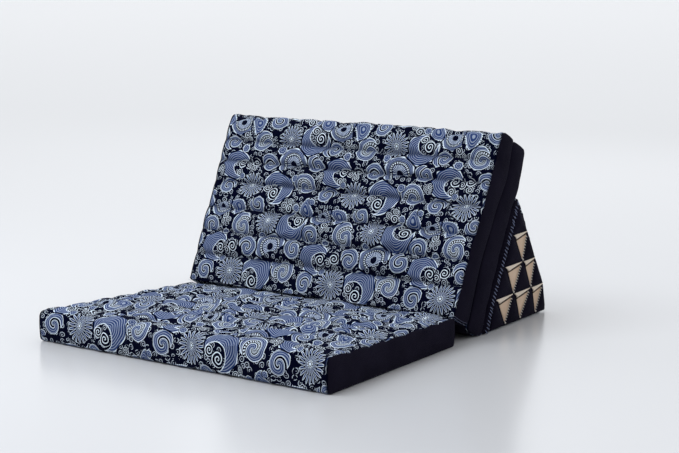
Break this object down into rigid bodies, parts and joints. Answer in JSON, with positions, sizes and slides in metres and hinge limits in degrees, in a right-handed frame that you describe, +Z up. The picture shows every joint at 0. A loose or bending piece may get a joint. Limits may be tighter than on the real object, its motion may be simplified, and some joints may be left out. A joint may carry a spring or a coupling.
{
  "type": "thai triangle cushion",
  "caption": "Fold-out floor seat: a channelled kapok mat on the floor, two more mats standing back to back as a backrest, leaning on a triangular bolster with patchwork ends.",
  "frame": {"origin": "on the floor, under the middle of the whole cushion as it is set up", "axes": "+X across the width, to the right of someone who faces the backrest; +Y from the seat's front edge to the bolster's back; +Z up"},
  "size_m": [0.827, 0.9556, 0.4722],
  "materials": {
    "print_cloth": "matt printed cotton, pale blue paisley on navy",
    "navy_cloth": "matt plain-woven navy cotton",
    "cream_cloth": "matt plain-woven cream cotton"
  },
  "bodies": {
    "root": {"seat_mat": "print_cloth", "back_mat": "print_cloth", "rear_mat": "print_cloth", "bolster": "print_cloth", "seat_mat_gusset_left": "navy_cloth", "seat_mat_gusset_right": "navy_cloth", "back_mat_gusset_left": "navy_cloth", "back_mat_gusset_right": "navy_cloth", "rear_mat_gusset_left": "navy_cloth", "rear_mat_gusset_right": "navy_cloth", "end_panel_left": "navy_cloth", "end_panel_right": "navy_cloth", "seat_hinge": "navy_cloth", "pocket_left_11": "cream_cloth", "pocket_left_21": "cream_cloth", "pocket_left_22": "cream_cloth", "pocket_left_31": "cream_cloth", "pocket_left_32": "cream_cloth", "pocket_left_33": "cream_cloth", "pocket_right_11": "cream_cloth", "pocket_right_21": "cream_cloth", "pocket_right_22": "cream_cloth", "pocket_right_31": "cream_cloth", "pocket_right_32": "cream_cloth", "pocket_right_33": "cream_cloth"}
  },
  "joints": []
}
